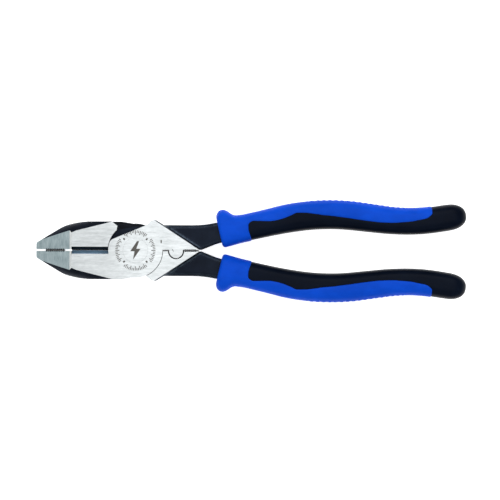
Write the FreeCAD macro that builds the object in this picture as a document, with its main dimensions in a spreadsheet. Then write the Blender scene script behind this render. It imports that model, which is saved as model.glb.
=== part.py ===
"""Lineman pliers: high-leverage side cutters with a crimping die behind the joint.

Two forged halves cross in a lap joint, held by a hot-set countersunk rivet. Each half is a jaw,
half of the lap joint and a handle, and each handle carries a hard grip core with a soft sleeve
moulded over its outer side. Millimetres. The origin is on the rivet's axis, in the plane of the
ground back face. +X points to the handles, +Y to the upper handle and +Z to the front.

Each half is drawn in one pose: jaw below the X axis, handle above it, lap plate in front of the
middle plane. The rear half is the same forging turned half a turn about the X axis.
"""
import FreeCAD, Part
import math
import os

import Sketcher
from FreeCAD import Placement, Rotation, Vector

SIZES = {
    # head
    "head_thick": 15.9,
    "head_side": 16.3,
    "jaw_reach": 55.9,
    "tip_half": 3.43,
    "nose_gap": 0.5,
    "knife_front": 36.0,
    "slot_half": 2.0,
    "knife_gap": 0.02,
    "knife_depth": 3.2,
    "step_drop": 1.0,
    "nose_drop": 2.5,
    # teeth of the nose
    "teeth_front": 50.7,
    "teeth_back": 40.0,
    "teeth_gap": 0.42,
    "teeth_pitch": 1.07,
    "teeth_deep": 0.32,
    "teeth_half": 0.44,
    "teeth_slant": 8.0,
    "teeth_count": 10,
    "teeth_land": 8.6,
    # lap joint and rivet
    "joint_round": 15.3,
    "joint_gap": 0.3,
    "lap_gap": 0.03,
    "rivet_shank": 4.5,
    "rivet_head": 2.5,
    "rivet_play": 0.04,
    # crimping die
    "die_gap": 0.42,
    "die_middle": 22.9,
    "bump_round": 3.85,
    "nest_round": 4.55,
    "die_end": 37.2,
    "land_gap": 0.03,
    "land_gain": 0.31,
    "land_end": 35.6,
    "land_deep": 1.0,
    "nest_reach": 5.0,
    "rim_deep": 2.5,
    "die_teeth_from": 28.0,
    "die_teeth_pitch": 1.1,
    "die_teeth_deep": 0.42,
    "die_teeth_count": 6,
    # handles
    "arm_thick": 11.0,
    "arm_side": 14.4,
    "arm_round": 1.6,
    "plate_round": 2.0,
    "tang_wide": 9.2,
    "tang_thick": 7.5,
    # grips
    "spine_start": 12.34,
    "spine_length": 21.5,
    "spine_rise": 12.94,
    "spine_bow": 130.2,
    "spine_fall": 6.96,
    "spine_flat": 14.3,
    "spine_flare": 110.8,
    "spine_lift": 8.26,
    "grip_wide": 16.2,
    "grip_thick": 18.6,
    "grip_round": 4.0,
    "tail_reach": 10.5,
    "tail_round": 7.4,
    "core_wide": 12.2,
    "core_thick": 13.4,
}
SPINE_X = 59.2
FAR = 40.0


def make_sheet(doc):
    """Put the driving dimensions in a spreadsheet, one named cell each."""
    sheet = doc.addObject("Spreadsheet::Sheet", "Sizes")
    for row, (alias, size) in enumerate(SIZES.items(), start=1):
        sheet.set(f"A{row}", alias)
        sheet.set(f"B{row}", str(size))
        sheet.setAlias(f"B{row}", alias)
    doc.recompute()
    return sheet


def value(doc, expression):
    """Work out an expression of the sheet's cells, as a plain number."""
    return float(doc.Sizes.evalExpression(str(expression)))


def arc_between(start, end, radius, turn, long_way):
    """The arc from start to end, turning left or right, the short or the long way round."""
    chord = end - start
    height = math.sqrt(max(radius**2 - (chord.Length / 2) ** 2, 0.0))
    side = Vector(-chord.y, chord.x, 0).normalize()
    if (turn == "left") == long_way:
        side = side * -1
    centre = (start + end) * 0.5 + side * height
    first, last = (start, end) if turn == "left" else (end, start)
    angles = [math.atan2(p.y - centre.y, p.x - centre.x) for p in (first, last)]
    if angles[1] <= angles[0]:
        angles[1] += 2 * math.pi
    return Part.ArcOfCircle(Part.Circle(centre, Vector(0, 0, 1), radius), *angles)


def fix_point(sketch, geometry, point, corner):
    """Hold one end of a line or arc at a corner given by two expressions."""
    for axis, expression in zip("XY", corner):
        size = value(sketch.Document, expression)
        held = sketch.addConstraint(Sketcher.Constraint(f"Distance{axis}", -1, 1, geometry, point, size))
        if isinstance(expression, str):
            sketch.setExpression(f"Constraints[{held}]", expression)


def outline(sketch, start, *steps):
    """Draw a closed outline. A step is (x, y) for a line, or (x, y, radius, turn[, "long"])."""
    doc = sketch.Document
    here = start
    ends = []
    for step in steps:
        begin, finish = (Vector(value(doc, x), value(doc, y), 0) for x, y in (here, step[:2]))
        if len(step) == 2:
            index = sketch.addGeometry(Part.LineSegment(begin, finish))
            ends.append((index, 1, 2))
        else:
            radius, turn = value(doc, step[2]), step[3]
            index = sketch.addGeometry(arc_between(begin, finish, radius, turn, len(step) == 5))
            ends.append((index, 1, 2) if turn == "left" else (index, 2, 1))
        here = step[:2]
    for number, (index, first, last) in enumerate(ends):
        follower, joined, _ = ends[(number + 1) % len(ends)]
        sketch.addConstraint(Sketcher.Constraint("Coincident", index, last, follower, joined))
        fix_point(sketch, index, last, steps[number][:2])
        if len(steps[number]) > 2:
            held = sketch.addConstraint(Sketcher.Constraint("Radius", index, value(doc, steps[number][2])))
            if isinstance(steps[number][2], str):
                sketch.setExpression(f"Constraints[{held}]", steps[number][2])


def sketch_on(body, name, plane, offset=None):
    """A sketch on one of the body's own origin planes, moved within it by offset."""
    sketch = body.newObject("Sketcher::SketchObject", name)
    origin_plane = next(f for f in body.Origin.OriginFeatures if f.Role == plane)
    sketch.AttachmentSupport = [(origin_plane, "")]
    sketch.MapMode = "FlatFace"
    if offset is not None:
        sketch.AttachmentOffset = offset
    return sketch


def upright_sketch(body, name, through_x, through_y, heading):
    """A sketch in an upright plane across the line through a point with a heading in degrees.

    Its x axis points to the line's left side and its y axis is the body's Z axis."""
    offset = Placement(Vector(through_y, 0, through_x), Rotation(Vector(0, 1, 0), heading))
    return sketch_on(body, name, "YZ_Plane", offset)


def mirrored_in_height(steps):
    """The same outline below the middle plane."""
    turned = {"left": "right", "right": "left"}
    return [(x, f"-({y})", *(turned.get(item, item) for item in rest)) for x, y, *rest in steps]


def cut_through(body, name, sketch):
    """Cut a sketch both ways through the whole body, and check that it removed something."""
    before = body.Shape.Volume
    pocket = body.newObject("PartDesign::Pocket", name)
    pocket.Profile = sketch
    pocket.SideType = "Symmetric"
    pocket.Type = "Length"
    pocket.Length = 10 * FAR
    body.Document.recompute()
    if body.Shape.Volume >= before:
        raise ValueError(f"{name} removed nothing")
    return pocket


def spine(doc):
    """The handle's centre line, as (point, heading) where its stretches meet.

    A straight rise, a bow outwards, a short straight fall and a flare that ends rising."""
    rise, fall, lift = (math.radians(value(doc, f"Sizes.spine_{part}")) for part in ("rise", "fall", "lift"))
    bow, flare = value(doc, "Sizes.spine_bow"), value(doc, "Sizes.spine_flare")
    start = Vector(SPINE_X, value(doc, "Sizes.spine_start"), 0)
    crest = start + along(rise) * (value(doc, "Sizes.spine_length") / math.cos(rise))
    fall_start = crest + Vector(math.sin(rise) + math.sin(fall), math.cos(fall) - math.cos(rise), 0) * bow
    fall_end = fall_start + along(-fall) * value(doc, "Sizes.spine_flat")
    last = fall_end + Vector(math.sin(lift) + math.sin(fall), math.cos(fall) - math.cos(lift), 0) * flare
    return [(start, rise), (crest, rise), (fall_start, -fall), (fall_end, -fall), (last, lift)]


def along(heading):
    """The unit vector with a heading in radians."""
    return Vector(math.cos(heading), math.sin(heading), 0)


def beside(station, offset):
    """A point beside the centre line, to its left where offset is positive."""
    point, heading = station
    moved = point + Vector(-math.sin(heading), math.cos(heading), 0) * offset
    return (moved.x, moved.y)


def inner_side(doc, half):
    """Steps along the centre line's inner side, from the head to the end of the flare."""
    _, crest, fall_start, fall_end, last = spine(doc)
    return [
        beside(crest, -half),
        (*beside(fall_start, -half), value(doc, "Sizes.spine_bow") - half, "right"),
        beside(fall_end, -half),
        (*beside(last, -half), value(doc, "Sizes.spine_flare") + half, "left"),
    ]


def outer_side(doc, half):
    """Steps along the centre line's outer side, from the end of the flare back to the crest."""
    _, crest, fall_start, fall_end, _ = spine(doc)
    return [
        (*beside(fall_end, half), value(doc, "Sizes.spine_flare") - half, "right"),
        beside(fall_start, half),
        (*beside(crest, half), value(doc, "Sizes.spine_bow") + half, "left"),
    ]


def draw_half_outline(sketch, die_side):
    """The forging's outline seen from the front, from the nose tip round by the jaw's outer side."""
    doc = sketch.Document
    on_joint = "sqrt(Sizes.joint_round^2 - {0}^2)".format
    tang_half = value(doc, "Sizes.tang_wide / 2")
    start, last = spine(doc)[0], spine(doc)[-1]
    outline(
        sketch,
        ("-Sizes.jaw_reach", "-Sizes.nose_gap"),
        ("-Sizes.jaw_reach", "-Sizes.tip_half"),
        ("-Sizes.jaw_reach + 0.62", "-Sizes.tip_half - 1.11", 1.3, "left"),
        (-42.8, -12.2),
        (-37.0, -14.62, 20.0, "left"),
        (-24.0, "-Sizes.head_side", 50.0, "left"),
        (-8.0, "-Sizes.head_side"),
        (-1.6, "-" + on_joint("1.6")),
        (on_joint("Sizes.die_gap"), die_side, "Sizes.joint_round", "left"),
        ("Sizes.die_end", die_side),
        (45.3, 3.65),
        beside(start, -tang_half),
        *inner_side(doc, tang_half),
        beside(last, tang_half),
        *outer_side(doc, tang_half),
        beside(start, tang_half),
        (45.0, 15.8),
        (32.0, "Sizes.arm_side", 60.0, "right"),
        (16.0, "Sizes.arm_side"),
        (12.4, 16.6),
        (8.5, 16.45, 3.2, "left"),
        (5.85, on_joint("5.85")),
        (-12.6, 6.46),
        ("-" + on_joint("4.27"), 4.27, 3.74, "left"),
        ("-" + on_joint("Sizes.slot_half"), "-Sizes.slot_half", "Sizes.joint_round", "left"),
        ("-Sizes.knife_front", "-Sizes.slot_half"),
        ("-Sizes.knife_front", "-Sizes.nose_gap"),
        ("-Sizes.teeth_back", "-Sizes.nose_gap"),
        ("-Sizes.teeth_back", "-Sizes.teeth_gap"),
        ("-Sizes.teeth_front", "-Sizes.teeth_gap"),
        ("-Sizes.teeth_front", "-Sizes.nose_gap"),
        ("-Sizes.jaw_reach", "-Sizes.nose_gap"),
    )


def pad_blank(body, die_side):
    """The full-thickness blank, both sides of the middle plane."""
    sketch = sketch_on(body, "BlankOutline", "XY_Plane")
    draw_half_outline(sketch, die_side)
    pad = body.newObject("PartDesign::Pad", "Blank")
    pad.Profile = sketch
    pad.SideType = "Symmetric"
    pad.setExpression("Length", "Sizes.head_thick")
    body.Document.recompute()


def add_knife(body):
    """The cutting edge: a ridge along the slot whose two bevels meet on the middle plane."""
    sketch = upright_sketch(body, "KnifeSection", -SIZES["knife_front"], 0, 0)
    outline(
        sketch,
        ("-Sizes.slot_half - 0.5", "-Sizes.knife_depth"),
        ("-Sizes.slot_half", "-Sizes.knife_depth"),
        ("-Sizes.knife_gap", 0),
        ("-Sizes.slot_half", "Sizes.knife_depth"),
        ("-Sizes.slot_half - 0.5", "Sizes.knife_depth"),
        ("-Sizes.slot_half - 0.5", "-Sizes.knife_depth"),
    )
    knife = body.newObject("PartDesign::Pad", "Knife")
    knife.Profile = sketch
    knife.setExpression("Length", "Sizes.knife_front - Sizes.joint_round + 0.3")
    body.Document.recompute()


def cut_lap(body):
    """Clear the space behind the lap plate for the other half's plate and neck."""
    offset = Placement(Vector(0, 0, SIZES["lap_gap"]), Rotation())
    sketch = sketch_on(body, "LapSpace", "XY_Plane", offset)
    on_shoulder = "sqrt((Sizes.joint_round + Sizes.joint_gap)^2 - {0}^2)".format
    outline(
        sketch,
        (-10.6, "-" + on_shoulder("10.6")),
        (-10.2, -13.8),
        (-16.0, -18.1),
        (6.1, -18.1),
        (6.1, "-" + on_shoulder("6.1")),
        (-10.6, "-" + on_shoulder("10.6"), "Sizes.joint_round + Sizes.joint_gap", "left", "long"),
    )
    before = body.Shape.Volume
    pocket = body.newObject("PartDesign::Pocket", "LapRecess")
    pocket.Profile = sketch
    pocket.Type = "Length"
    pocket.Length = FAR
    body.Document.recompute()
    if body.Shape.Volume > 0.95 * before:
        raise ValueError("the lap recess was cut away from the forging")


def cut_both_faces(body, name, sketch_name, place, corners):
    """Cut the same prism from the front and the back face, in an upright plane across a line."""
    sketch = upright_sketch(body, sketch_name, *place)
    for half in (corners, mirrored_in_height(corners)):
        outline(sketch, half[0], *half[1:], half[0][:2])
    return cut_through(body, name, sketch)


def shape_faces(body):
    """Taper the nose, bevel the jaw's outer side and lower the arm below the ground faces."""
    face = "Sizes.head_thick / 2"
    nose = f"{face} - Sizes.step_drop"
    cut_both_faces(
        body, "NoseTaper", "NoseSection", (0, 0, 90),
        [(36.0, 12), (36.0, face), (37.1, nose), (57.0, f"{face} - Sizes.nose_drop"), (57.0, 12)],
    )
    cut_both_faces(
        body, "JawBevel", "JawBevelSection", (-36.0, -10.4, -14.1),
        [(1.8, f"{face} + 1.3"), (-12, f"{face} + 1.3"), (-12, 0.2), (-5.2, 0.2), (0, face, 11.5, "right")],
    )
    cut_both_faces(
        body, "NoseBevel", "NoseBevelSection", (-37.2, -11.1, -23.7),
        [(2.5, f"{nose} + 1.6"), (-12, f"{nose} + 1.6"), (-12, 0.2), (-4.6, 0.2), (0, nose, 10.0, "right")],
    )
    cut_both_faces(
        body, "ArmStep", "ArmSection", (11.15, 16.7, -33.26),
        [(0, face), (0.9, "Sizes.arm_thick / 2"), (4 * FAR, "Sizes.arm_thick / 2"), (4 * FAR, 12), (0, 12)],
    )
    cut_both_faces(
        body, "TangStep", "TangSection", (SPINE_X, 0, 90),
        [(0, "Sizes.tang_thick / 2"), (-4 * FAR, "Sizes.tang_thick / 2"), (-4 * FAR, 12), (0, 12)],
    )


def round_edges(body, name, size, edges):
    """Round the numbered edges of the body as it stands."""
    base = body.Tip
    fillet = body.newObject("PartDesign::Fillet", name)
    fillet.Base = (base, [f"Edge{number}" for number in edges])
    fillet.setExpression("Radius", size)
    body.Document.recompute()


def level_edges(body, level, wanted):
    """Numbers of the edges that lie level at a height and whose middle point is wanted."""
    numbers = []
    for number, edge in enumerate(body.Shape.Edges, start=1):
        box = edge.BoundBox
        if box.ZLength < 0.001 and abs(box.ZMin - level) < 0.001:
            if wanted(edge.valueAt((edge.FirstParameter + edge.LastParameter) / 2)):
                numbers.append(number)
    return numbers


def round_forging(body):
    """Round the arm's long edges and the lap plate's hidden outer rim."""
    doc = body.Document
    arm = value(doc, "Sizes.arm_thick / 2")

    def on_arm_side(middle):
        past_step = (middle.x - 11.15) * 0.548 + (middle.y - 16.7) * 0.836
        return past_step > 1.2 and middle.x < SPINE_X - 0.5

    arm_edges = [number for level in (arm, -arm) for number in level_edges(body, level, on_arm_side)]
    round_edges(body, "ArmRounding", "Sizes.arm_round", arm_edges)

    def on_plate_rim(middle):
        return middle.y < -15.3 or (middle.x > 10 and middle.y < -5)

    plate_edges = level_edges(body, value(doc, "Sizes.lap_gap"), on_plate_rim)
    round_edges(body, "PlateRounding", "Sizes.plate_round", plate_edges)


def pattern_along_x(body, name, feature, pitch, count):
    """Repeat a cut along the X axis."""
    pattern = body.newObject("PartDesign::LinearPattern", name)
    pattern.Originals = [feature]
    x_axis = next(f for f in body.Origin.OriginFeatures if f.Role == "X_Axis")
    pattern.Direction = (x_axis, [""])
    pattern.setExpression("Length", f"{pitch} * ({count} - 1)")
    pattern.setExpression("Occurrences", count)
    body.Tip = pattern
    body.Document.recompute()


def cut_nose_teeth(body):
    """Slanted grooves across the nose's gripping face."""
    first = -SIZES["teeth_front"] + SIZES["teeth_pitch"] / 2
    offset = Placement(Vector(first, 0, 0), Rotation(Vector(0, 1, 0), SIZES["teeth_slant"]))
    sketch = sketch_on(body, "NoseTooth", "XY_Plane", offset)
    outline(
        sketch,
        ("-Sizes.teeth_half", 0),
        (0, "-Sizes.teeth_deep - Sizes.teeth_gap"),
        ("Sizes.teeth_half", 0),
        ("-Sizes.teeth_half", 0),
    )
    tooth = cut_through(body, "NoseGroove", sketch)
    pattern_along_x(body, "NoseTeeth", tooth, "Sizes.teeth_pitch", "Sizes.teeth_count")


def cut_die_teeth(body, die_side):
    """Fine grooves across the closing face behind the crimping die."""
    offset = Placement(Vector(SIZES["die_teeth_from"], 0, 0), Rotation())
    sketch = sketch_on(body, "DieTooth", "XY_Plane", offset)
    outline(
        sketch,
        (-0.44, f"{die_side} - 0.02"),
        (0.44, f"{die_side} - 0.02"),
        (0, f"{die_side} + Sizes.die_teeth_deep"),
        (-0.44, f"{die_side} - 0.02"),
    )
    tooth = cut_through(body, "DieGroove", sketch)
    pattern_along_x(body, "DieTeeth", tooth, "Sizes.die_teeth_pitch", "Sizes.die_teeth_count")


def add_die_bump(body, die_side):
    """The round-nosed crimping bump on the front half's closing face."""
    sketch = sketch_on(body, "BumpOutline", "XY_Plane")
    left, right = (f"Sizes.die_middle {sign} Sizes.bump_round" for sign in "-+")
    outline(
        sketch,
        (left, f"{die_side} + 0.5"),
        (left, "-Sizes.die_gap"),
        (right, "-Sizes.die_gap", "Sizes.bump_round + 0.001", "left"),
        (right, f"{die_side} + 0.5"),
        (left, f"{die_side} + 0.5"),
    )
    bump = body.newObject("PartDesign::Pad", "DieBump")
    bump.Profile = sketch
    bump.SideType = "Symmetric"
    bump.setExpression("Length", "Sizes.head_thick")
    body.Document.recompute()


def cut_die_nest(body, die_side):
    """The half-round nest in the rear half's closing face, which takes the bump with a gap all round."""
    sketch = sketch_on(body, "NestOutline", "XY_Plane")
    left, right = (f"Sizes.die_middle {sign} Sizes.nest_round" for sign in "-+")
    outline(
        sketch,
        (left, f"{die_side} - 2"),
        (right, f"{die_side} - 2"),
        (right, die_side),
        (left, die_side, "Sizes.nest_round + 0.001", "left"),
        (left, f"{die_side} - 2"),
    )
    cut_through(body, "DieNest", sketch)


def add_land(body, name, height, *corners):
    """Bring the middle of a closing face nearer to the other half than its relieved rims."""
    sketch = sketch_on(body, name + "Outline", "XY_Plane")
    outline(sketch, corners[0], *corners[1:], corners[0])
    land = body.newObject("PartDesign::Pad", name)
    land.Profile = sketch
    land.SideType = "Symmetric"
    land.setExpression("Length", height)
    body.Document.recompute()


def add_die_land(body, rear):
    """The land of the closing face behind the joint, which follows the bump or the nest."""
    start, end = "Sizes.joint_round + Sizes.joint_gap", "Sizes.land_end"
    if rear:
        round_half, level, turn = "(Sizes.nest_round - Sizes.land_gain)", "Sizes.die_gap", "right"
        outer = "sqrt(Sizes.nest_reach^2 + (Sizes.land_deep - Sizes.die_gap)^2)"
        around_nest = [
            ("Sizes.die_middle + Sizes.nest_reach", "Sizes.land_deep"),
            ("Sizes.die_middle - Sizes.nest_reach", "Sizes.land_deep", outer, "left"),
        ]
    else:
        round_half, level, turn = "(Sizes.bump_round + Sizes.land_gain)", "-Sizes.die_gap", "left"
        around_nest = []
    left, right = (f"Sizes.die_middle {sign} {round_half}" for sign in "-+")
    add_land(
        body, "DieLand", "Sizes.head_thick - 2 * Sizes.rim_deep",
        (start, "Sizes.land_deep"),
        (start, "Sizes.land_gap"),
        (left, "Sizes.land_gap"),
        (left, level),
        (right, level, f"{round_half} + 0.001", turn),
        (right, "Sizes.land_gap"),
        (end, "Sizes.land_gap"),
        (end, "Sizes.land_deep"),
        *around_nest,
    )


def add_nose_land(body):
    """The land of the nose's gripping face, which the teeth are cut across."""
    add_land(
        body, "NoseLand", "Sizes.teeth_land",
        ("-Sizes.teeth_front", "-Sizes.land_deep"),
        ("-Sizes.teeth_back", "-Sizes.land_deep"),
        ("-Sizes.teeth_back", "-Sizes.land_gap"),
        ("-Sizes.teeth_front", "-Sizes.land_gap"),
    )


def bore_for_rivet(body, play):
    """The countersunk rivet hole through the lap plate."""
    sketch = sketch_on(body, "RivetHole", "XZ_Plane")
    shank = f"Sizes.rivet_shank + {play}"
    face = "Sizes.head_thick / 2"
    outline(
        sketch,
        (0, -1),
        (shank, -1),
        (shank, f"{face} - Sizes.rivet_head"),
        (f"{shank} + Sizes.rivet_head", face),
        (f"{shank} + Sizes.rivet_head", f"{face} + 1"),
        (0, f"{face} + 1"),
        (0, -1),
    )
    before = body.Shape.Volume
    groove = body.newObject("PartDesign::Groove", "RivetBore")
    groove.Profile = sketch
    groove.ReferenceAxis = (sketch, ["V_Axis"])
    groove.Angle = 360
    body.Document.recompute()
    if body.Shape.Volume > before - 100:
        raise ValueError("the rivet hole was not cut")


def make_half(doc, name, rear, seat):
    """One forged half: jaw, lap plate, shoulder, arm and the tang inside its grip."""
    body = doc.addObject("PartDesign::Body", name)
    body.Label = name
    die_side = "Sizes.die_gap"
    pad_blank(body, die_side)
    add_knife(body)
    cut_lap(body)
    shape_faces(body)
    bore_for_rivet(body, 0 if rear else "Sizes.rivet_play")
    if rear:
        cut_die_nest(body, die_side)
    else:
        add_die_bump(body, die_side)
    cut_die_teeth(body, die_side)
    add_die_land(body, rear)
    add_nose_land(body)
    cut_nose_teeth(body)
    round_forging(body)
    body.Placement = seat
    doc.recompute()
    return body


def make_rivet(doc, middle):
    """The hot-set rivet, its two countersunk heads flush with the ground faces."""
    body = doc.addObject("PartDesign::Body", "pivot_rivet")
    body.Label = "pivot_rivet"
    sketch = sketch_on(body, "RivetSection", "XZ_Plane")
    face = "Sizes.head_thick / 2"
    outline(
        sketch,
        (0, f"-{face}"),
        ("Sizes.rivet_shank + Sizes.rivet_head", f"-{face}"),
        ("Sizes.rivet_shank", f"-{face} + Sizes.rivet_head"),
        ("Sizes.rivet_shank", f"{face} - Sizes.rivet_head"),
        ("Sizes.rivet_shank + Sizes.rivet_head", face),
        (0, face),
        (0, f"-{face}"),
    )
    turn = body.newObject("PartDesign::Revolution", "RivetTurn")
    turn.Profile = sketch
    turn.ReferenceAxis = (sketch, ["V_Axis"])
    turn.Angle = 360
    body.Placement = middle
    doc.recompute()
    return body


def form(doc, name, thick, seat, start, *steps, rounding=None):
    """A padded outline about the middle plane, its upper and lower rims rounded where asked."""
    body = doc.addObject("PartDesign::Body", name)
    sketch = sketch_on(body, name + "_outline", "XY_Plane")
    outline(sketch, start, *steps)
    pad = body.newObject("PartDesign::Pad", name + "_pad")
    pad.Profile = sketch
    pad.SideType = "Symmetric"
    pad.setExpression("Length", thick)
    doc.recompute()
    if rounding:
        rims = [f"Edge{number}" for number, edge in enumerate(pad.Shape.Edges, start=1)
                if edge.BoundBox.ZLength < 0.001]
        fillet = body.newObject("PartDesign::Fillet", name + "_rounding")
        fillet.Base = (pad, rims)
        fillet.setExpression("Radius", rounding)
        doc.recompute()
    body.Placement = seat
    return body


def grip_form(doc, name, seat):
    """The whole grip's outside: guard lobe, long palm and rounded tail."""
    half = value(doc, "Sizes.grip_wide / 2")
    tail = value(doc, "Sizes.tail_round")
    start, last = spine(doc)[0], spine(doc)[-1]
    end = (last[0] + along(last[1]) * value(doc, "Sizes.tail_reach"), last[1])
    return form(
        doc, name, "Sizes.grip_thick", seat,
        (51.7, 2.35),
        beside(start, -half),
        *inner_side(doc, half),
        beside(end, -tail),
        (*beside(end, tail), tail + 0.001, "left"),
        beside(last, half),
        *outer_side(doc, half),
        beside(start, half),
        (53.0, 21.53, 4.35, "right"),
        (45.31, 18.6, 4.3, "left"),
        (48.95, 3.8, 44.8, "left"),
        (51.7, 2.35, 2.36, "left"),
        rounding="Sizes.grip_round",
    )


def sleeve_region(doc, name, seat):
    """The part of the grip that the soft sleeve covers: the guard and the outer side."""
    return form(
        doc, name, "2 * Sizes.grip_thick", seat,
        (40.0, 30.0),
        (40.0, 0.0),
        (66.5, 0.0),
        (66.0, 6.0),
        (63.6, 12.6, 12.0, "left"),
        (67.0, 16.8, 3.4, "right"),
        (73.0, 16.6),
        (89.4, 20.9, 34.0, "left"),
        (94.0, 21.6, 4.5, "right"),
        (137.0, 16.5),
        (164.0, 18.9, 70.0, "left"),
        (167.4, 23.0, 4.2, "left"),
        (167.4, 30.0),
        (40.0, 30.0),
    )


def core_form(doc, name, seat):
    """The core's inner layer, which holds the tang and carries the sleeve."""
    half = value(doc, "Sizes.core_wide / 2")
    start, last = spine(doc)[0], spine(doc)[-1]
    return form(
        doc, name, "Sizes.core_thick", seat,
        beside(start, half),
        beside(start, -half),
        *inner_side(doc, half),
        beside(last, half),
        *outer_side(doc, half),
        beside(start, half),
    )


def cut_away(doc, name, base, tool):
    """One solid with another cut away from it."""
    cut = doc.addObject("Part::Cut", name)
    cut.Label = name
    cut.Base = base
    cut.Tool = tool
    doc.recompute()
    return cut


def make_grip(doc, name, half, seat):
    """A handle's hard core and the soft sleeve over its guard and outer side."""
    outside = grip_form(doc, name + "_outside", seat)
    covered = doc.addObject("Part::Common", name + "_covered")
    covered.Base = outside
    covered.Tool = sleeve_region(doc, name + "_region", seat)
    doc.recompute()
    around_core = cut_away(doc, name + "_around_core", covered, core_form(doc, name + "_inner", seat))
    sleeve = cut_away(doc, name + "_grip_sleeve", around_core, half)
    filled = cut_away(doc, name + "_filled", outside, around_core)
    core = cut_away(doc, name + "_grip_core", filled, half)
    return [core, sleeve]


def write_step(sub_parts):
    """Write each sub-part, after checking it, to a file with its name."""
    os.makedirs("parts", exist_ok=True)
    for part in sub_parts:
        part.Shape.exportStep(f"parts/{part.Label}.step")
        box = part.Shape.BoundBox
        print(f"{part.Label}: {part.Shape.Volume / 1000:.2f} cm3, {len(part.Shape.Faces)} faces,"
              f" {box.XMin:.1f} {box.XMax:.1f} {box.YMin:.1f} {box.YMax:.1f} {box.ZMin:.1f} {box.ZMax:.1f}")


def check(doc, sub_parts):
    """Stop if any object failed or any sub-part is not one or more valid solids."""
    for item in doc.Objects:
        if {"Invalid", "Error"} & set(item.State):
            raise ValueError(f"{item.Name} failed: {item.State}")
    for part in sub_parts:
        if part.Shape.isNull() or not part.Shape.isValid() or not part.Shape.Solids:
            raise ValueError(f"{part.Label} has no valid solid")


def main():
    doc = FreeCAD.newDocument("LinemanPliers")
    make_sheet(doc)
    middle = Placement(Vector(0, 0, value(doc, "Sizes.head_thick / 2")), Rotation())
    turned = Placement(middle.Base, Rotation(Vector(1, 0, 0), 180))
    sub_parts = [make_rivet(doc, middle)]
    for side, seat in (("front", middle), ("rear", turned)):
        half = make_half(doc, side + "_half", side == "rear", seat)
        sub_parts += [half, *make_grip(doc, side, half, seat)]
    doc.recompute()
    check(doc, sub_parts)
    write_step(sub_parts)


main()
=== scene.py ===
"""Looks of the lineman pliers: ground and blackened forgings, a marked rivet and two-colour moulded grips.

Lengths below are in millimetres unless they say otherwise; the meshes themselves are in metres.
The grips are drawn for the upper handle, and turned half a turn about the X axis for the lower one.
"""
import math

import bmesh
import bpy
import numpy as np
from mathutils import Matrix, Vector


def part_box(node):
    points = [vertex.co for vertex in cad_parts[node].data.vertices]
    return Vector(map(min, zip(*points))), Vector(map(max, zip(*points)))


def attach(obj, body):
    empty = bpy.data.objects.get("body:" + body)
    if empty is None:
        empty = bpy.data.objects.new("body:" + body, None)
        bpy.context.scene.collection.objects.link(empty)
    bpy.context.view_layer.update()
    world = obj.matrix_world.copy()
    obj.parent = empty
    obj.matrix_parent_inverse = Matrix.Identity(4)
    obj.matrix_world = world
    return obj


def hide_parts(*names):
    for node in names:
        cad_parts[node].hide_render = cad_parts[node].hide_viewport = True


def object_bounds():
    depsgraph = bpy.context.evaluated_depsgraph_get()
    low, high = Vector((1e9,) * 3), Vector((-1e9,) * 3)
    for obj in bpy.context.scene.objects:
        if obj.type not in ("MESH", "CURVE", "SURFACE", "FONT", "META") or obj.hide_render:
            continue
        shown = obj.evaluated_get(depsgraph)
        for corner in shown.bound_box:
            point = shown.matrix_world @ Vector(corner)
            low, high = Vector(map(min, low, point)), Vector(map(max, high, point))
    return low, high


MM = 0.001
# Sockets of a Mix node, which has same-named ones for each kind of value.
MIX_AMOUNT = 0
MIX_NUMBER_LOW, MIX_NUMBER_HIGH, MIX_NUMBER = 2, 3, 0
MIX_COLOR_LOW, MIX_COLOR_HIGH, MIX_COLOR = 6, 7, 2
# Along X in metres: the ground faces are darker before the first and plain after the second.
JAW_FADE = (-0.018, -0.002)

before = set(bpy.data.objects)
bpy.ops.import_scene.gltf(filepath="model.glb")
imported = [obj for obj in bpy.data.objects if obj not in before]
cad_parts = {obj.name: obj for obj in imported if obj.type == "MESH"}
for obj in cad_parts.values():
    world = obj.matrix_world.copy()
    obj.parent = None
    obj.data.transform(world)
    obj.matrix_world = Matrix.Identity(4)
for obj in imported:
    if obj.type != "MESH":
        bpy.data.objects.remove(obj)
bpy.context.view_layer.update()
FACE_LOW, FACE_HIGH = (corner.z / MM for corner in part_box("pivot_rivet"))
MIDDLE = (FACE_LOW + FACE_HIGH) / 2


# ---------------------------------------------------------------- materials

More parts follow.
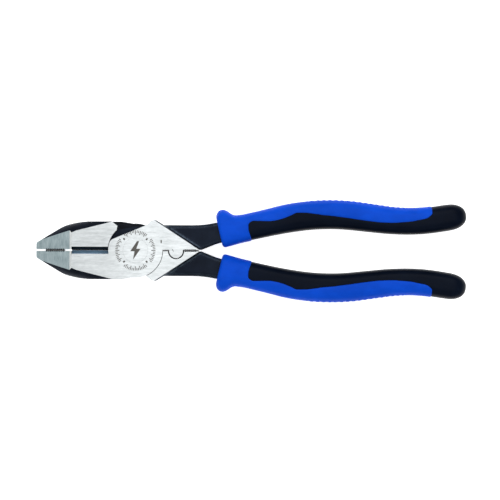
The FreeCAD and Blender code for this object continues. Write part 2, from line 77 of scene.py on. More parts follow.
class Look:
    """A Principled material and short calls to add nodes to it."""

    def __init__(self, name, color, metallic=0.0, roughness=0.5, specular=0.5):
        self.material = bpy.data.materials.new(name)
        self.material.use_nodes = True
        self.tree = self.material.node_tree
        self.shader = self.tree.nodes["Principled BSDF"]
        self.set("Base Color", (*color, 1.0))
        self.set("Metallic", metallic)
        self.set("Roughness", roughness)
        self.set("Specular IOR Level", specular)
        self.place = self.add("ShaderNodeTexCoord").outputs["Object"]

    def set(self, socket, value):
        self.shader.inputs[socket].default_value = value

    def add(self, kind, **settings):
        node = self.tree.nodes.new(kind)
        for name, value in settings.items():
            setattr(node, name, value)
        return node

    def link(self, output, entry):
        self.tree.links.new(output, entry)

    def noise(self, scale, detail, rough, stretch=(1.0, 1.0, 1.0)):
        """Noise from 0 to 1, with about scale cells to the metre, longer where stretch is under 1."""
        mapping = self.add("ShaderNodeMapping")
        mapping.inputs["Scale"].default_value = stretch
        self.link(self.place, mapping.inputs["Vector"])
        texture = self.add("ShaderNodeTexNoise")
        texture.inputs["Scale"].default_value = scale
        texture.inputs["Detail"].default_value = detail
        texture.inputs["Roughness"].default_value = rough
        self.link(mapping.outputs["Vector"], texture.inputs["Vector"])
        return texture.outputs["Fac"]

    def axis(self, name):
        """One coordinate of the surface in the shared frame, in metres."""
        split = self.add("ShaderNodeSeparateXYZ")
        self.link(self.place, split.inputs[0])
        return split.outputs[name]

    def spread(self, value, low, high, from_low=0.3, from_high=0.7):
        """The value mapped from a range to another, held at its ends."""
        node = self.add("ShaderNodeMapRange", clamp=True)
        limits = {"From Min": from_low, "From Max": from_high, "To Min": low, "To Max": high}
        for socket, number in limits.items():
            node.inputs[socket].default_value = number
        self.link(value, node.inputs["Value"])
        return node.outputs["Result"]

    def combine(self, first, second, operation="MULTIPLY"):
        node = self.add("ShaderNodeMath", operation=operation)
        for entry, value in zip(node.inputs, (first, second)):
            if isinstance(value, (int, float)):
                entry.default_value = value
            else:
                self.link(value, entry)
        return node.outputs["Value"]

    def share(self, first, part, second):
        """A part of the first value and the rest of the second."""
        return self.combine(self.combine(first, part), self.combine(second, 1 - part), "ADD")

    def blend(self, amount, low_color, high_color):
        """A colour between two, which may be colours or other blends."""
        node = self.add("ShaderNodeMix", data_type="RGBA")
        self.link(amount, node.inputs[MIX_AMOUNT])
        for socket, color in ((MIX_COLOR_LOW, low_color), (MIX_COLOR_HIGH, high_color)):
            if isinstance(color, tuple):
                node.inputs[socket].default_value = (*color, 1.0)
            else:
                self.link(color, node.inputs[socket])
        return node.outputs[MIX_COLOR]

    def edge_wear_and_highlight(self, radius, low, high):
        """0 on open faces, rising to 1 at edges. The radius in mm is how far in from an edge it reaches."""
        rounded = self.add("ShaderNodeBevel", samples=6)
        rounded.inputs["Radius"].default_value = radius * MM
        flat = self.add("ShaderNodeNewGeometry")
        dot = self.add("ShaderNodeVectorMath", operation="DOT_PRODUCT")
        self.link(rounded.outputs["Normal"], dot.inputs[0])
        self.link(flat.outputs["Normal"], dot.inputs[1])
        away = self.combine(1.0, dot.outputs["Value"], "SUBTRACT")
        return self.spread(away, 0.0, 1.0, low, high)

    def bump(self, height, strength, depth, rounding=0.0):
        """Bump from a height of 0 to 1 and a depth in mm, over edges rounded to a radius in mm."""
        node = self.add("ShaderNodeBump")
        node.inputs["Strength"].default_value = strength
        node.inputs["Distance"].default_value = depth * MM
        self.link(height, node.inputs["Height"])
        if rounding:
            soft = self.add("ShaderNodeBevel", samples=8)
            soft.inputs["Radius"].default_value = rounding * MM
            self.link(soft.outputs["Normal"], node.inputs["Normal"])
        self.link(node.outputs["Normal"], self.shader.inputs["Normal"])

    def color(self, output):
        self.link(output, self.shader.inputs["Base Color"])

    def roughness(self, output):
        self.link(output, self.shader.inputs["Roughness"])


def drawn_out(grain, ratio):
    """The stretch of a noise whose cells are drawn out along one axis: grain is "X" or "Y"."""
    return (ratio, 1.0, 1.0) if grain == "X" else (1.0, ratio, 1.0)


def ground_look(name, dark, light, grain, roughness=(0.38, 0.52), metallic=1.0, jaw=1.0):
    """Ground steel with its scratches along grain, "X" or "Y". jaw multiplies the colours on the jaws."""
    look = Look(name, light, metallic=metallic, roughness=sum(roughness) / 2)
    coarse = look.noise(900, 4, 0.6, drawn_out(grain, 0.17))
    fine = look.noise(5200, 3, 0.65, drawn_out(grain, 0.09))
    clouds = look.noise(150, 3, 0.55, drawn_out("X", 0.5))
    streaks = look.share(coarse, 0.5, fine)
    tone = look.share(streaks, 0.8, clouds)
    level = look.spread(tone, 0.0, 1.0, 0.35, 0.65)
    on_jaw = look.spread(look.axis("X"), 1.0, 0.0, *JAW_FADE)
    jaw_colors = (tuple(jaw * part for part in color) for color in (dark, light))
    look.color(look.blend(on_jaw, look.blend(level, dark, light), look.blend(level, *jaw_colors)))
    look.roughness(look.spread(fine, *roughness))
    look.bump(streaks, strength=0.35, depth=0.012, rounding=0.07)
    return look.material


def oxide_look(name, dark, light, worn_and_highlight, rounding, wear_and_highlight_radius=0.3, wear_and_highlight_range=(0.02, 0.25)):
    """Forged steel under black oxide: cloudy, finely pitted, and lighter in a band along its edges, which is
    rubbed wear and, where the band is wide and light, also a painted highlight.

    rounding is how softly its edges take the light, and the wear radius how wide the band of wear and painted
    highlight is, in mm.
    """
    look = Look(name, light, metallic=0.6, roughness=0.38, specular=0.2)
    clouds = look.noise(110, 4, 0.6)
    pits = look.noise(2600, 4, 0.6)
    scale_marks = look.noise(480, 5, 0.65, drawn_out("X", 0.6))
    patches = look.spread(scale_marks, 0.3, 1.0, 0.35, 0.65)
    wear_and_highlight = look.combine(look.edge_wear_and_highlight(wear_and_highlight_radius, *wear_and_highlight_range), patches)
    skin = look.blend(look.spread(clouds, 0.0, 1.0, 0.35, 0.65), dark, light)
    look.color(look.blend(wear_and_highlight, skin, worn_and_highlight))
    look.roughness(look.spread(scale_marks, 0.28, 0.42))
    look.bump(look.share(pits, 0.5, scale_marks), strength=0.35, depth=0.035, rounding=rounding)
    return look.material


def blued_painted_light_look(name, dark, light):
    """A knife's bevels, finely ground and then blued, in colours that carry painted light: one copy is
    painted pale blue as if lit, the other nearly black as painted shade.
    """
    look = Look(name, light, metallic=0.05, roughness=0.5, specular=0.3)
    grain = look.noise(4200, 3, 0.6, drawn_out("X", 0.04))
    look.color(look.blend(look.spread(grain, 0.0, 1.0), dark, light))
    look.roughness(look.spread(grain, 0.42, 0.58))
    look.bump(grain, strength=0.3, depth=0.012)
    return look.material


def etched_look():
    """The dull grey floor of a shallow mark."""
    look = Look("etched_mark", (0.10, 0.095, 0.085), metallic=0.6, roughness=0.6)
    grain = look.noise(3500, 4, 0.6)
    look.color(look.blend(look.spread(grain, 0.0, 1.0), (0.07, 0.068, 0.062), (0.16, 0.15, 0.135)))
    look.roughness(look.spread(grain, 0.5, 0.7))
    look.bump(grain, strength=0.4, depth=0.02)
    return look.material


def moulded_look(name, dark, light, roughness, specular):
    """Moulded plastic: a fine stipple, with slow changes of tone and of gloss."""
    look = Look(name, light, roughness=sum(roughness) / 2, specular=specular)
    clouds = look.noise(45, 3, 0.5)
    stipples = look.noise(3200, 2, 0.5)
    handling = look.noise(260, 4, 0.6, drawn_out("X", 0.5))
    tone = look.share(clouds, 0.6, handling)
    look.color(look.blend(look.spread(tone, 0.0, 1.0, 0.38, 0.62), dark, light))
    look.roughness(look.spread(handling, *roughness))
    look.bump(stipples, strength=0.5, depth=0.02)
    return look.material


MATERIALS = {
    "ground": ground_look("ground_steel", (0.490, 0.520, 0.525), (0.820, 0.850, 0.860), "X", jaw=0.81),
    "nose": ground_look("nose_steel", (0.165, 0.218, 0.229), (0.378, 0.446, 0.462), "Y", (0.42, 0.56)),
    # Painted highlight: the sloped faces behind the nose are ground steel painted nearly white, as if
    # catching the light.
    "strip": ground_look("strip_steel_painted_highlight", (0.80, 0.83, 0.82), (0.90, 0.92, 0.91), "Y", metallic=0.3),
    "oxide": oxide_look(
        "black_oxide", (0.0034, 0.0060, 0.0125), (0.0070, 0.0115, 0.0220), (0.040, 0.058, 0.085),
        rounding=0.5,
    ),
    # The arms' edges are lighter in a wide band: partly rubbed wear, partly a painted highlight along their
    # rounded edges.
    "arm": oxide_look(
        "arm_oxide_worn_and_painted_highlight", (0.0018, 0.0042, 0.0105), (0.0046, 0.0086, 0.0185), (0.110, 0.150, 0.200),
        rounding=3.2, wear_and_highlight_radius=2.6, wear_and_highlight_range=(0.006, 0.10),
    ),
    # Painted shade: the lap faces in the recess and the walls along the crimp die's line are painted darker
    # than the other oxide, as if shade falls there. Their edges carry a lighter band that is partly wear and
    # partly a painted highlight.
    "recess_painted_shade": oxide_look(
        "recess_oxide_painted_shade", (0.0006, 0.0014, 0.0036), (0.0018, 0.0034, 0.0076), (0.055, 0.075, 0.105),
        rounding=1.6, wear_and_highlight_radius=1.6,
    ),
    # Painted light and shade on the knives: the front half's bevels are painted pale blue as if lit, the rear
    # half's nearly black as if in shade.
    "knife_painted_light": blued_painted_light_look("knife_painted_light", (0.30, 0.52, 0.76), (0.40, 0.65, 0.92)),
    "knife_painted_shade": blued_painted_light_look("knife_painted_shade", (0.006, 0.010, 0.016), (0.011, 0.018, 0.027)),
    "etched": etched_look(),
    "core": moulded_look("grip_core", (0.0012, 0.0032, 0.0095), (0.0024, 0.0056, 0.0145), (0.30, 0.42), 0.05),
    "sleeve": moulded_look("grip_sleeve", (0.0016, 0.063, 0.555), (0.0030, 0.079, 0.675), (0.38, 0.52), 0.05),
}


# ---------------------------------------------------------------- meshes

def place_piece(mesh, name, body, nodes):
    """Put a finished mesh in the scene, riding on a CAD body in place of CAD nodes."""
    piece = bpy.data.objects.new(name, mesh)
    bpy.context.scene.collection.objects.link(piece)
    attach(piece, body)
    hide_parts(*nodes)


def closed_mesh(name, rings, first_pole, last_pole):
    """A tube through rings of points, closed by a fan at each end. Points are rows of x, y, z in mm."""
    count, size = rings.shape[:2]
    points = np.vstack([rings.reshape(-1, 3), first_pole, last_pole]) * MM
    faces = []
    for ring in range(count - 1):
        here, there = ring * size, (ring + 1) * size
        for k in range(size):
            after = (k + 1) % size
            faces.append((here + k, here + after, there + after, there + k))
    low, high, last = count * size, count * size + 1, (count - 1) * size
    for k in range(size):
        after = (k + 1) % size
        faces.append((k, low, after))
        faces.append((last + k, last + after, high))
    mesh = bpy.data.meshes.new(name)
    mesh.from_pydata(points.tolist(), [], faces)
    work = bmesh.new()
    work.from_mesh(mesh)
    bmesh.ops.recalc_face_normals(work, faces=work.faces)
    work.to_mesh(mesh)
    work.free()
    return mesh


def cut_away(mesh, other):
    """A copy of the mesh with another taken out of it, both closed."""
    holders = [bpy.data.objects.new("shape", data) for data in (mesh, other)]
    for holder in holders:
        bpy.context.scene.collection.objects.link(holder)
    modifier = holders[0].modifiers.new("cut", "BOOLEAN")
    modifier.operation = "DIFFERENCE"
    modifier.solver = "MANIFOLD"
    modifier.object = holders[1]
    bpy.context.view_layer.update()
    finished = holders[0].evaluated_get(bpy.context.evaluated_depsgraph_get())
    result = bpy.data.meshes.new_from_object(finished)
    for holder in holders:
        bpy.data.objects.remove(holder)
    return result


def smooth_shade(mesh, crease=28.0):
    """Smooth shading with edges kept sharp where faces meet at more than the crease angle."""
    work = bmesh.new()
    work.from_mesh(mesh)
    for face in work.faces:
        face.smooth = True
    for edge in work.edges:
        edge.smooth = len(edge.link_faces) == 2 and edge.calc_face_angle() < math.radians(crease)
    work.to_mesh(mesh)
    work.free()


def hermite(knots, x):
    """A smooth curve through (x, y) knots, evaluated at an array x."""
    kx, ky = np.array(knots, float).T
    slope = np.gradient(ky, kx)
    flat = np.concatenate([[False], np.diff(ky)[:-1] * np.diff(ky)[1:] <= 0, [False]])
    slope[flat] = 0.0
    i = np.clip(np.searchsorted(kx, x) - 1, 0, len(kx) - 2)
    step = kx[i + 1] - kx[i]
    t = np.clip((x - kx[i]) / step, 0, 1)
    return (
        (2 * t**3 - 3 * t**2 + 1) * ky[i] + (t**3 - 2 * t**2 + t) * step * slope[i]
        + (3 * t**2 - 2 * t**3) * ky[i + 1] + (t**3 - t**2) * step * slope[i + 1]
    )


def smoothstep(x):
    """0 up to 0, 1 from 1, and a smooth rise between."""
    x = np.clip(x, 0, 1)
    return x * x * (3 - 2 * x)


# ---------------------------------------------------------------- grips

# The handle's centre line: start point, then stretches of (length, turn in degrees).
SPINE_START = (59.2, 12.34)
SPINE_HEADING = 12.94
SPINE = ((22.06, 0.0), (45.22, -19.9), (14.3, 0.0), (29.43, 15.22), (30.0, 0.0))

# The grips run along that line from GRIP_FRONT, ahead of its start. The core runs to the tail.
GRIP_FRONT, GRIP_TAIL = -12.1, 128.6
CORE_FRONT = GRIP_FRONT + 4.0
CORE_TAIL_ROUND = 10.5
SLEEVE_TAIL, SLEEVE_TAIL_ROUND = 119.0, 4.0
FRONT_ROUND = {"outer": 3.6, "inner": 1.9, "thick": 2.2}

# Half widths and half thickness as (distance along the line, size). The outer side has the guard lobe.
OUTER_SIDE = (
    (GRIP_FRONT, 12.0), (-9.0, 12.6), (-7.0, 12.4), (-4.9, 11.0), (-3.2, 9.1), (-1.6, 8.1),
    (1.0, 7.65), (8.0, 7.42), (17.0, 7.5), (28.0, 7.8), (42.0, 7.85), (62.0, 7.85), (76.0, 7.65),
    (90.0, 7.35), (104.0, 7.3), (116.0, 7.4), (129.0, 7.3),
)
INNER_SIDE = (
    (GRIP_FRONT, 8.0), (-8.0, 7.85), (0.0, 7.55), (8.0, 7.6), (17.0, 7.75), (28.0, 8.1), (42.0, 8.15),
    (62.0, 8.15), (76.0, 7.95), (90.0, 7.6), (104.0, 7.55), (116.0, 7.45), (129.0, 7.1),
)
HALF_THICK = (
    (GRIP_FRONT, 9.0), (-7.0, 8.95), (-1.0, 8.55), (6.0, 8.3), (20.0, 8.45), (45.0, 8.7), (70.0, 8.55),
    (90.0, 8.2), (108.0, 8.2), (129.0, 8.3),
)
# The core has no guard lobe, which the first GUARD_KNOTS points of the outer side draw.
GUARD_KNOTS = 6
CORE_OUTER_SIDE = ((GRIP_FRONT, 7.2),) + OUTER_SIDE[GUARD_KNOTS:]

# Where the soft sleeve ends and the hard core shows, in X and Y, from the inner side to the tail.
SEAM = (
    (67.5, -3.0), (66.6, 3.0), (65.2, 7.5), (63.8, 12.0), (63.7, 14.6), (65.2, 16.4), (68.5, 16.8),
    (75.0, 16.7), (82.6, 18.1), (87.8, 20.1), (91.2, 21.5), (95.0, 21.5), (103.0, 20.7), (116.5, 19.1),
    (130.0, 17.2), (138.0, 16.3), (145.0, 16.1), (152.0, 16.6), (160.0, 17.8), (165.2, 19.3),
    (167.3, 21.8), (167.0, 25.0), (164.5, 32.0),
)
SEAM_STEPS = 700

# Round its section a grip is a superellipse, and so is its tail seen from above.
AROUND = 128
SECTION_POWER = 2.9
TAIL_POWER = 2.3
RING_STEP = 0.4
FRONT_RINGS, TAIL_RINGS = 12, 22

# At the seam the surfaces change over SEAM_RAMP. The core sinks under the sleeve, and the sleeve
# climbs from below the core's surface until it stands proud of it.
SEAM_RAMP = 1.5
CORE_SINK, CORE_SINK_FROM = 1.5, 0.1
SLEEVE_BELOW, SLEEVE_CLIMB = 0.7, 1.05

# Ribs across the sleeve's outer side: between two distances along the line, as far up and down as
# RIBS_HALF, and from a share of the half width outwards.
RIB_PITCH, RIB_HEIGHT, RIB_STEEPNESS = 3.2, 0.2, 1.3
RIBS_START, RIBS_END, RIBS_FADE = 38.0, 94.0, 2.0
RIBS_HALF, RIBS_HALF_FADE = 5.4, 0.8
RIBS_SIDE, RIBS_SIDE_FADE = 0.35, 0.2


def on_spine(s):
    """Centre-line points and headings at distances s, an array that may start before 0."""
    x, y = (np.full_like(s, value) for value in SPINE_START)
    heading = np.full_like(s, math.radians(SPINE_HEADING))
    rest = s.copy()
    for number, (length, turn) in enumerate(SPINE):
        run = np.minimum(rest, length)
        if number:
            run = np.maximum(run, 0)
        bend = math.radians(turn) / length
        middle = heading + bend * run / 2
        chord = run * np.sinc(bend * run / (2 * np.pi))
        x, y = x + chord * np.cos(middle), y + chord * np.sin(middle)
        heading = heading + bend * run
        rest = rest - run
    return x, y, heading


def seam_distance(x, y):
    """Signed distance from the seam, positive where the sleeve covers the core."""
    knots = np.array(SEAM)
    step = np.r_[0, np.cumsum(np.hypot(*np.diff(knots, axis=0).T))]
    t = np.linspace(0, step[-1], SEAM_STEPS)
    line = np.stack([hermite(list(zip(step, knots[:, axis])), t) for axis in (0, 1)], axis=1)
    points = np.stack([x, y], axis=-1)
    nearest = np.full(x.shape, np.inf)
    side = np.ones(x.shape)
    for a, b in zip(line[:-1], line[1:]):
        along = b - a
        share = np.clip(((points - a) @ along) / (along @ along), 0, 1)
        away = points - (a + share[..., None] * along)
        distance = np.hypot(away[..., 0], away[..., 1])
        cross = along[0] * (points[..., 1] - a[1]) - along[1] * (points[..., 0] - a[0])
        closer = distance < nearest
        nearest = np.where(closer, distance, nearest)
        side = np.where(closer, np.sign(cross), side)
    return nearest * side


def front_inset(s, radius):
    """How far a rounded front corner draws the surface in, at distances s."""
    depth = np.clip(radius - (s - GRIP_FRONT), 0, radius)
    return radius - np.sqrt(radius**2 - depth**2)


def stations(front, front_round, tail, tail_round):
    """Distances along the centre line, closer together where the ends are rounded."""
    rise = front + front_round * (1 - np.cos(np.linspace(0, math.pi / 2, FRONT_RINGS)))
    middle = np.arange(front + front_round + RING_STEP, tail - tail_round, RING_STEP)
    end = tail - tail_round + tail_round * np.sin(np.linspace(0, math.pi / 2, TAIL_RINGS))[:-1]
    return np.concatenate([rise, middle, end])


def beside_spine(s, u):
    """Points at distances s along the centre line and u to its outer side."""
    x, y, heading = (values[:, None] for values in on_spine(s))
    return x - np.sin(heading) * u, y + np.cos(heading) * u


def grip_rings(s, tail, tail_round, offset, outer_side):
    """Rings of points on the grip's surface, moved outwards by offset(seam, s, side, height)."""
    theta = (np.arange(AROUND) + 0.5) * (2 * math.pi / AROUND)
    cos, sin = np.cos(theta)[None, :], np.sin(theta)[None, :]
    into_tail = np.clip((s - tail + tail_round) / tail_round, 0, 1)
    shrink = np.power(1 - np.power(into_tail, TAIL_POWER), 1 / TAIL_POWER)
    outer, inner, thick = (
        ((hermite(knots, s) - front_inset(s, FRONT_ROUND[key])) * shrink)[:, None]
        for knots, key in ((outer_side, "outer"), (INNER_SIDE, "inner"), (HALF_THICK, "thick"))
    )
    middle, half = (outer - inner) / 2, (outer + inner) / 2
    across, up = (np.sign(part) * np.abs(part) ** (2 / SECTION_POWER) for part in (cos, sin))
    normal_u = np.sign(cos) * np.abs(across) ** (SECTION_POWER - 1) / half
    normal_z = np.sign(sin) * np.abs(up) ** (SECTION_POWER - 1) / thick
    length = np.hypot(normal_u, normal_z)
    u, z = middle + half * across, thick * up
    out = offset(seam_distance(*beside_spine(s, u)), s[:, None], u / half, z)
    u, z = u + out * normal_u / length, z + out * normal_z / length
    return np.stack([*beside_spine(s, u), z], axis=-1)


def core_offset(seam, *_):
    """The core is flush where it shows and sunk under the sleeve."""
    return -CORE_SINK * smoothstep((seam - CORE_SINK_FROM) / SEAM_RAMP)


def sleeve_offset(seam, s, side, height):
    """The sleeve stands a little proud of the core, ends at the seam, and has ribs along its outer side."""
    cover = smoothstep((seam + SEAM_RAMP / 2) / SEAM_RAMP)
    pulse = smoothstep(0.5 + RIB_STEEPNESS * np.cos(s * (2 * math.pi / RIB_PITCH)))
    span = smoothstep((s - RIBS_START) / RIBS_FADE) * smoothstep((RIBS_END - s) / RIBS_FADE)
    band = smoothstep((RIBS_HALF - np.abs(height)) / RIBS_HALF_FADE)
    band = band * smoothstep((side - RIBS_SIDE) / RIBS_SIDE_FADE)
    return -SLEEVE_BELOW + SLEEVE_CLIMB * cover + RIB_HEIGHT * pulse * span * band


def grip_mesh(name, front, tail, tail_round, offset, outer_side):
    """One closed layer of a grip, for the upper handle, about the middle plane."""
    s = stations(front, FRONT_ROUND["outer"], tail, tail_round)
    rings = grip_rings(s, tail, tail_round, offset, outer_side)
    x, y, _ = on_spine(np.array([tail]))
    return closed_mesh(name, rings, rings[0].mean(axis=0), (x[0], y[0], 0.0))


def place_layer(shape, layer, side, turn):
    """Put one layer on a handle: turn is 1 for the upper handle and -1 for the lower one."""
    mesh = shape.copy()
    points = np.empty(len(mesh.vertices) * 3)
    mesh.vertices.foreach_get("co", points)
    points = points.reshape(-1, 3) * (1, turn, turn) + (0, 0, MIDDLE * MM)
    mesh.vertices.foreach_set("co", points.ravel())
    mesh.materials.clear()
    mesh.materials.append(MATERIALS[layer])
    smooth_shade(mesh, crease=40.0)
    place_piece(mesh, f"{side}_{layer}", f"{side}_side", [f"{side}_grip_{layer}"])


def make_grips():
    core = grip_mesh("core", CORE_FRONT, GRIP_TAIL, CORE_TAIL_ROUND, core_offset, CORE_OUTER_SIDE)
    full_sleeve = grip_mesh(
        "full_sleeve", GRIP_FRONT, SLEEVE_TAIL, SLEEVE_TAIL_ROUND, sleeve_offset, OUTER_SIDE,
    )
    sleeve = cut_away(full_sleeve, core)
    for side, turn in (("front", 1), ("rear", -1)):
        place_layer(core, "core", side, turn)
        place_layer(sleeve, "sleeve", side, turn)


# ---------------------------------------------------------------- forgings

FORGING_LOOKS = ("oxide", "arm", "recess_painted_shade", "ground", "nose", "strip", "knife_painted_light", "knife_painted_shade", "etched")

# Marks cut into the upper face: a ring of strokes with a dot in each of its four openings, a bolt
# on the rivet, and two index strokes, each (start, end, half width).
MARK_DEPTH = 0.12
RING_STROKES = 72
RING_OUTER, RING_INNER, RING_LONG_INNER, RING_HALF = 11.3, 9.9, 9.0, 0.20
DOT_INNER, DOT_OUTER, DOT_HALF = 8.4, 9.6, 0.45
BOLT = ((0.9, 5.2), (-2.9, -0.5), (-0.5, -0.5), (-1.3, -5.2), (2.9, 0.9), (0.5, 0.9), (2.1, 5.2))
INDEX_STROKES = (((14.5, 4.2), (14.5, 5.9), 0.34), ((21.5, -0.5), (20.7, 0.8), 0.16))

# Rows of teeth: from front to back along X, how far crests and roots are broken back from the
# closing line, and the height from the middle beyond which that is done.
NOSE_TEETH = {"front": -50.7, "back": -40.0, "pitch": 1.07, "crest": 0.52, "root": 0.98, "land": 4.2}
DIE_TEETH = {"front": 27.9, "back": 34.5, "pitch": 1.10, "crest": 0.28, "root": 0.66, "land": 5.4}
TEETH_MARGIN = 0.1
TEETH_HALF = 1.0

# Which way a face looks: how much of its normal is along Z on a level face, on a slope and on a
# knife's bevel, and along X on the flat end of the nose.
LEVEL, SLOPE, BEVEL, END_ON = 0.99, 0.5, (0.3, 0.8), -0.8

# Where one finish gives way to another: X from the joint, the half widths from the closing line, and
# heights from the middle plane. TOP is the height of the ground faces.
TOP = MIDDLE - FACE_LOW
TOP_SLACK = 0.02
MARKS_LOW = TOP - 1.1 * MARK_DEPTH
MARKS_FRONT = -17
MARKS_ROUND = 11.4
NOSE_TIP, NOSE_BACK, NOSE_LOW = -55.8, -37.0, 5.2
STRIP_BACK = -35.9
KNIFE_FRONT, KNIFE_BACK, KNIFE_HALF = -36.2, -14.8, 2.2
DIE_FRONT, DIE_BACK, DIE_HALF = 15.0, 37.5, 5.2
LAP_ROUND, LAP_HALF = 12.0, 1.0
ARM_FRONT, ARM_ALL_ROUND, ARM_INNER = 10.0, 38.5, 5.5


def on_teeth(x, y, height):
    """Whether a face is in a row of teeth, outside the land in the middle."""
    in_row = any(
        row["front"] - TEETH_MARGIN < x < row["back"] + TEETH_MARGIN for row in (NOSE_TEETH, DIE_TEETH)
    )
    return in_row and y < TEETH_HALF and height > LAP_HALF


def forging_look(centre, normal, knife):
    """Which finish a face of a forging has, from its centre in mm, its normal and the knife's finish."""
    x, y, height = centre.x, abs(centre.y), abs(centre.z - MIDDLE)
    level = abs(normal.z)
    from_joint = math.hypot(x, y)
    if level > LEVEL and height > TOP - TOP_SLACK:
        return "ground"
    if x > MARKS_FRONT and height > MARKS_LOW and centre.z > MIDDLE:
        return "etched" if from_joint < MARKS_ROUND or is_index(centre) else "oxide"
    # The sloped faces behind the nose take the painted highlight.
    if x < STRIP_BACK and level > SLOPE and abs(normal.x) > SLOPE:
        return "strip"
    if (x < NOSE_BACK and level > LEVEL and height > NOSE_LOW) or (x < NOSE_TIP and normal.x < END_ON):
        return "nose"
    # Knife bevels take the knife finish, painted as lit on the front half and as in shade on the rear half.
    if KNIFE_FRONT < x < KNIFE_BACK and y < KNIFE_HALF and BEVEL[0] < level < BEVEL[1]:
        return knife
    if on_teeth(x, y, height):
        return "oxide"
    # The die's line and the recessed lap faces take the painted shade.
    if (DIE_FRONT < x < DIE_BACK and y < DIE_HALF) or (height < LAP_HALF and from_joint > LAP_ROUND):
        return "recess_painted_shade"
    if x > ARM_FRONT and (x > ARM_ALL_ROUND or y > ARM_INNER):
        return "arm"
    return "oxide"


def paint_finishes(mesh, knife):
    """Give each face of a forging its finish; the knife's finish is painted as lit on the front half and as
    in shade on the rear half.
    """
    mesh.materials.clear()
    for look in FORGING_LOOKS:
        mesh.materials.append(MATERIALS[look])
    for polygon in mesh.polygons:
        look = forging_look(polygon.center / MM, polygon.normal, knife)
        polygon.material_index = FORGING_LOOKS.index(look)
    smooth_shade(mesh)


def clean_copy(node, name):
    """A CAD node's mesh with its doubled points joined."""
    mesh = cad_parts[node].data.copy()
    mesh.name = name
    work = bmesh.new()
    work.from_mesh(mesh)
    bmesh.ops.remove_doubles(work, verts=work.verts, dist=0.0005 * MM)
    work.to_mesh(mesh)
    work.free()
    return mesh


def prisms(name, outlines, low, high):
    """Closed upright prisms between two heights in mm, from outlines listed anticlockwise."""
    points, faces = [], []
    for outline in outlines:
        first, count = len(points), len(outline)
        points += [(x, y, z) for z in (low, high) for x, y in outline]
        faces.append(tuple(first + k for k in reversed(range(count))))
        faces.append(tuple(first + count + k for k in range(count)))
        for k in range(count):
            after = (k + 1) % count
            faces.append((first + k, first + after, first + count + after, first + count + k))
    mesh = bpy.data.meshes.new(name)
    mesh.from_pydata([Vector(point) * MM for point in points], [], faces)
    return mesh


def stroke(start, end, half):
    """A straight bar from start to end, listed anticlockwise."""
    start, end = np.array(start), np.array(end)
    along = (end - start) / np.hypot(*(end - start))
    across = np.array([-along[1], along[0]]) * half
    return [tuple(corner) for corner in (start - across, end - across, end + across, start + across)]


def radial_stroke(degrees, inner, outer, half):
    """A bar that points away from the joint."""
    direction = np.array([math.cos(math.radians(degrees)), math.sin(math.radians(degrees))])
    return stroke(direction * inner, direction * outer, half)


def ring_marks():
    """A plain graduated ring: longer strokes at every third, and a dot where it is open."""
    quarter = RING_STROKES // 4
    openings = (quarter // 2 - 1, quarter // 2, quarter // 2 + 1)
    marks = []
    for number in range(RING_STROKES):
        if number % quarter not in openings:
            inner = RING_INNER if number % 3 else RING_LONG_INNER
            marks.append(radial_stroke(number * 360 / RING_STROKES, inner, RING_OUTER, RING_HALF))
    for corner in range(4):
        marks.append(radial_stroke(45 + 90 * corner, DOT_INNER, DOT_OUTER, DOT_HALF))
    return marks


def is_index(centre):
    """Whether a point is within an index stroke."""
    return any(
        min(start[0], end[0]) - half < centre.x < max(start[0], end[0]) + half
        and min(start[1], end[1]) - half < centre.y < max(start[1], end[1]) + half
        for start, end, half in INDEX_STROKES
    )


def relieve_teeth(mesh, front, back, pitch, crest, root, land):
    """Break a row of teeth at both faces, so that their ends show as a ragged dark line."""
    count = round((back - front) / pitch * 2)
    x = np.linspace(front, back, count + 1)
    half = np.where(np.arange(count + 1) % 2, root, crest)
    outline = list(zip(x, -half)) + list(zip(x[::-1], half[::-1]))
    for low, high in ((MIDDLE + land, FACE_HIGH + 1.0), (FACE_LOW - 1.0, MIDDLE - land)):
        mesh = cut_away(mesh, prisms("rims", [outline], low, high))
    return mesh


def toothed_copy(node, name):
    """A forging's mesh with both its rows of teeth broken back."""
    return relieve_teeth(relieve_teeth(clean_copy(node, name), **NOSE_TEETH), **DIE_TEETH)


def engrave(mesh, outlines):
    """Cut shallow marks into the upper ground face."""
    return cut_away(mesh, prisms("marks", outlines, FACE_HIGH - MARK_DEPTH, FACE_HIGH + 1.0))


def make_forgings():
    marks = ring_marks() + [stroke(*bar) for bar in INDEX_STROKES]
    marked = engrave(toothed_copy("front_half", "front_forging"), marks)
    # The front half's knife bevels get the copy painted as lit, the rear half's the copy painted as in shade.
    paint_finishes(marked, "knife_painted_light")
    place_piece(marked, "front_forging", "front_side", ["front_half"])
    plain = toothed_copy("rear_half", "rear_forging")
    paint_finishes(plain, "knife_painted_shade")
    place_piece(plain, "rear_forging", "rear_side", ["rear_half"])
    rivet = engrave(clean_copy("pivot_rivet", "rivet"), [BOLT])
    paint_finishes(rivet, "knife_painted_shade")
    place_piece(rivet, "rivet", "rear_side", ["pivot_rivet"])


# ---------------------------------------------------------------- studio

# The camera looks straight down on CENTRE, sees VIEW_WIDTH across, and is turned by TILT in radians.
CENTRE = (64.55, 0.51)
VIEW_WIDTH = 282.5
TILT = 0.0044
LENS = 300.0
SENSOR = 36.0
FAR_CLIP = 20.0

# Area lights in metres and watts: name, place, what it aims at, size and power.
LIGHTS = (
    ("softbox", (0.06, 0.42, 1.25), (0.06, 0.42, 0.0), (2.0, 1.5), 10.6),
    ("strip", (0.06, 0.70, 0.85), (0.06, 0.0, 0.0), (1.2, 0.30), 2.0),
    ("fill", (0.06, -0.9, 0.8), (0.06, 0, 0), (0.9, 0.4), 0.5),
)

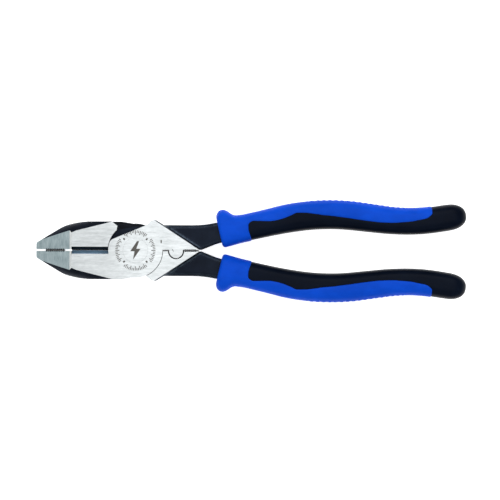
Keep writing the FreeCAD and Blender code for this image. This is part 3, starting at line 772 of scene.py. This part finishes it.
# The world's strength at the horizon and from SKY_RISE upwards, and as the camera sees it.
SKY_LOW, SKY_HIGH, SKY_RISE = 0.34, 0.50, 0.9
SKY_SEEN = 1.0
SKY_COLOR = (0.97, 0.985, 1.0, 1.0)

FLOOR_REACH = 6.0
FLOOR_GLOW = 0.85


def make_camera():
    data = bpy.data.cameras.new("camera")
    data.lens = LENS
    data.sensor_width = SENSOR
    data.clip_end = FAR_CLIP
    camera = bpy.data.objects.new("camera", data)
    distance = VIEW_WIDTH * LENS / SENSOR
    camera.location = (CENTRE[0] * MM, CENTRE[1] * MM, (MIDDLE + distance) * MM)
    camera.rotation_euler = (0, 0, TILT)
    bpy.context.scene.collection.objects.link(camera)
    bpy.context.scene.camera = camera


def area_light(name, place, aim, size, power):
    data = bpy.data.lights.new(name, "AREA")
    data.shape = "RECTANGLE"
    data.size, data.size_y = size
    data.energy = power
    light = bpy.data.objects.new(name, data)
    light.location = place
    light.rotation_euler = (Vector(aim) - Vector(place)).to_track_quat("-Z", "Y").to_euler()
    light.visible_camera = False
    bpy.context.scene.collection.objects.link(light)


def make_world():
    """Soft light from all round, weaker towards the horizon, that the camera sees as plain white."""
    world = bpy.data.worlds.new("studio")
    world.use_nodes = True
    tree = world.node_tree
    background = tree.nodes["Background"]
    place = tree.nodes.new("ShaderNodeTexCoord")
    axes = tree.nodes.new("ShaderNodeSeparateXYZ")
    tree.links.new(place.outputs["Generated"], axes.inputs[0])
    rise = tree.nodes.new("ShaderNodeMapRange")
    limits = {"From Min": 0.0, "From Max": SKY_RISE, "To Min": SKY_LOW, "To Max": SKY_HIGH}
    for socket, number in limits.items():
        rise.inputs[socket].default_value = number
    tree.links.new(axes.outputs["Z"], rise.inputs["Value"])
    seen = tree.nodes.new("ShaderNodeLightPath")
    strength = tree.nodes.new("ShaderNodeMix")
    tree.links.new(seen.outputs["Is Camera Ray"], strength.inputs[MIX_AMOUNT])
    tree.links.new(rise.outputs["Result"], strength.inputs[MIX_NUMBER_LOW])
    strength.inputs[MIX_NUMBER_HIGH].default_value = SKY_SEEN
    tree.links.new(strength.outputs[MIX_NUMBER], background.inputs["Strength"])
    background.inputs["Color"].default_value = SKY_COLOR
    bpy.context.scene.world = world


def make_floor():
    """A white floor under the tool that gives off light itself, so that no shadow greys it."""
    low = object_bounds()[0].z
    corners = [(x * FLOOR_REACH, y * FLOOR_REACH, low) for x, y in ((-1, -1), (1, -1), (1, 1), (-1, 1))]
    mesh = bpy.data.meshes.new("floor")
    mesh.from_pydata(corners, [], [(0, 1, 2, 3)])
    look = Look("floor", (0.9, 0.9, 0.9), roughness=0.8, specular=0.1)
    mottle = look.noise(30, 2, 0.5)
    look.color(look.blend(look.spread(mottle, 0.0, 1.0), (0.89, 0.89, 0.89), (0.91, 0.91, 0.91)))
    look.set("Emission Color", (1.0, 1.0, 1.0, 1.0))
    look.set("Emission Strength", FLOOR_GLOW)
    mesh.materials.append(look.material)
    floor = bpy.data.objects.new("floor", mesh)
    bpy.context.scene.collection.objects.link(floor)


def make_studio():
    make_world()
    make_floor()
    bpy.context.scene.view_settings.view_transform = "Standard"
    for light in LIGHTS:
        area_light(*light)


make_forgings()
make_grips()
make_studio()
make_camera()
